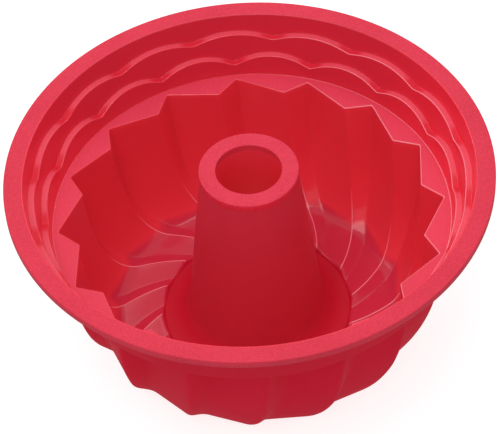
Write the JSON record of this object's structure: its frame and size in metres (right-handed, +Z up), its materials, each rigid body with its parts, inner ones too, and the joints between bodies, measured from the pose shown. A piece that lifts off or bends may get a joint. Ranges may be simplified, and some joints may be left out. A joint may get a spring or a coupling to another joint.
{
  "type": "bundt pan",
  "caption": "Round fluted ring-cake pan in soft silicone: flat rim, scalloped stepped collar, star-shaped ledge, swirled saw-tooth flutes and a hollow tapered chimney.",
  "frame": {"origin": "centre of the flat underside, on the surface that the pan stands on", "axes": "+Z up along the chimney's axis; +X through the outer corner of one flute at the star ledge"},
  "size_m": [0.25, 0.25, 0.1103],
  "materials": {
    "silicone_matte": "fine-grained matte moulded silicone on the level top faces",
    "silicone_satin": "smooth satin moulded silicone on the walls"
  },
  "bodies": {
    "root": {"rim_flange": "silicone_matte", "collar_wall": "silicone_satin", "upper_scallop_ring": "silicone_satin", "lower_scallop_ring": "silicone_satin", "star_ledge": "silicone_matte", "fluted_wall": "silicone_satin", "fluted_corner": "silicone_satin", "petal_floor": "silicone_satin", "foot_ring": "silicone_satin", "chimney_tube": "silicone_satin", "chimney_lip": "silicone_matte"}
  },
  "joints": []
}
